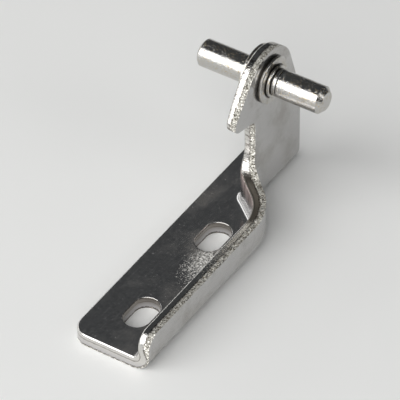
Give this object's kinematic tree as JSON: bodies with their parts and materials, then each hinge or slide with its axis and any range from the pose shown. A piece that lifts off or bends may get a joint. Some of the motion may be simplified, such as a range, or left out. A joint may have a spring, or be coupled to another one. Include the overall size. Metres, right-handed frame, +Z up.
{
  "type": "refrigerator door hinge",
  "caption": "Folded and joggled sheet-steel hinge bracket with a stop nose and a fixed pivot pin through its head; screws through its slots hold it to a cabinet so that doors turn on the pin.",
  "frame": {"origin": "middle of the two screw slots, on the mounting face under the base", "axes": "X across the base and along the pin, Y along the base towards the pin, Z up from the mounting face"},
  "size_m": [0.031, 0.0738, 0.0404],
  "materials": {
    "bracket_plating": "bright nickel plating over blanked and folded steel sheet, with coarse sheared edges",
    "pin_plating": "bright nickel plating over turned steel",
    "washer_plating": "bright nickel plating over stamped steel"
  },
  "bodies": {
    "root": {"bracket": "bracket_plating", "pin": "pin_plating", "washer": "washer_plating"}
  },
  "joints": []
}
